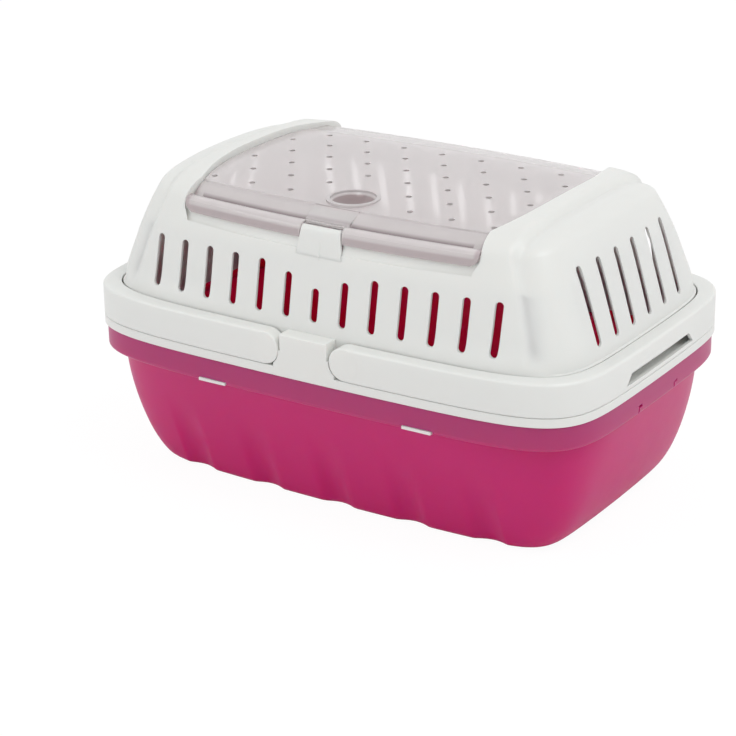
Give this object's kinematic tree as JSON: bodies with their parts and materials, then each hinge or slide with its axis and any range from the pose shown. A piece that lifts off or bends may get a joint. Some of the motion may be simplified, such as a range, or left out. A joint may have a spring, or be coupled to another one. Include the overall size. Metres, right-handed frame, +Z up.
{
  "type": "pet carrier",
  "caption": "Small plastic pet carrier: flared tub, vented shell with end arches, clear top lid with latch, and a pair of swing-up half handles.",
  "frame": {"origin": "middle of the footprint on the floor plane", "axes": "+X along the 400 mm side, +Y from the latch side to the hinge side, +Z up"},
  "size_m": [0.4, 0.26, 0.224],
  "materials": {
    "tub_plastic": "satin moulded magenta polypropylene",
    "shell_plastic": "satin moulded white polypropylene",
    "clear_plastic": "smooth clear plastic"
  },
  "bodies": {
    "tub": {"base_tub": "tub_plastic"},
    "shell": {"upper_shell": "shell_plastic"},
    "lid": {"clear_lid": "clear_plastic"},
    "latch_tab": {"latch_tongue": "shell_plastic"},
    "left_half_handle": {"handle_left": "shell_plastic"},
    "right_half_handle": {"handle_right": "shell_plastic"}
  },
  "joints": [
    {"name": "shell_lift", "type": "slide", "parent": "tub", "child": "shell", "axis": [0, 0, 1], "range_m": [0, 0.12]},
    {"name": "lid_hinge", "type": "hinge", "parent": "shell", "child": "lid", "pos_m": [0, 0.10878, 0.2012], "axis": [1, 0, 0], "range_deg": [-105, 0]},
    {"name": "latch", "type": "hinge", "parent": "shell", "child": "latch_tab", "pos_m": [0, -0.1101, 0.1888], "axis": [1, 0, 0], "range_deg": [0, 12], "stiffness_Nm_per_rad": 1.5},
    {"name": "left_handle_hinge", "type": "hinge", "parent": "shell", "child": "left_half_handle", "pos_m": [-0.032, 0, 0.1255], "axis": [0, 1, 0], "range_deg": [0, 96]},
    {"name": "right_handle_hinge", "type": "hinge", "parent": "shell", "child": "right_half_handle", "pos_m": [0.032, 0, 0.1255], "axis": [0, -1, 0], "range_deg": [0, 96]}
  ]
}
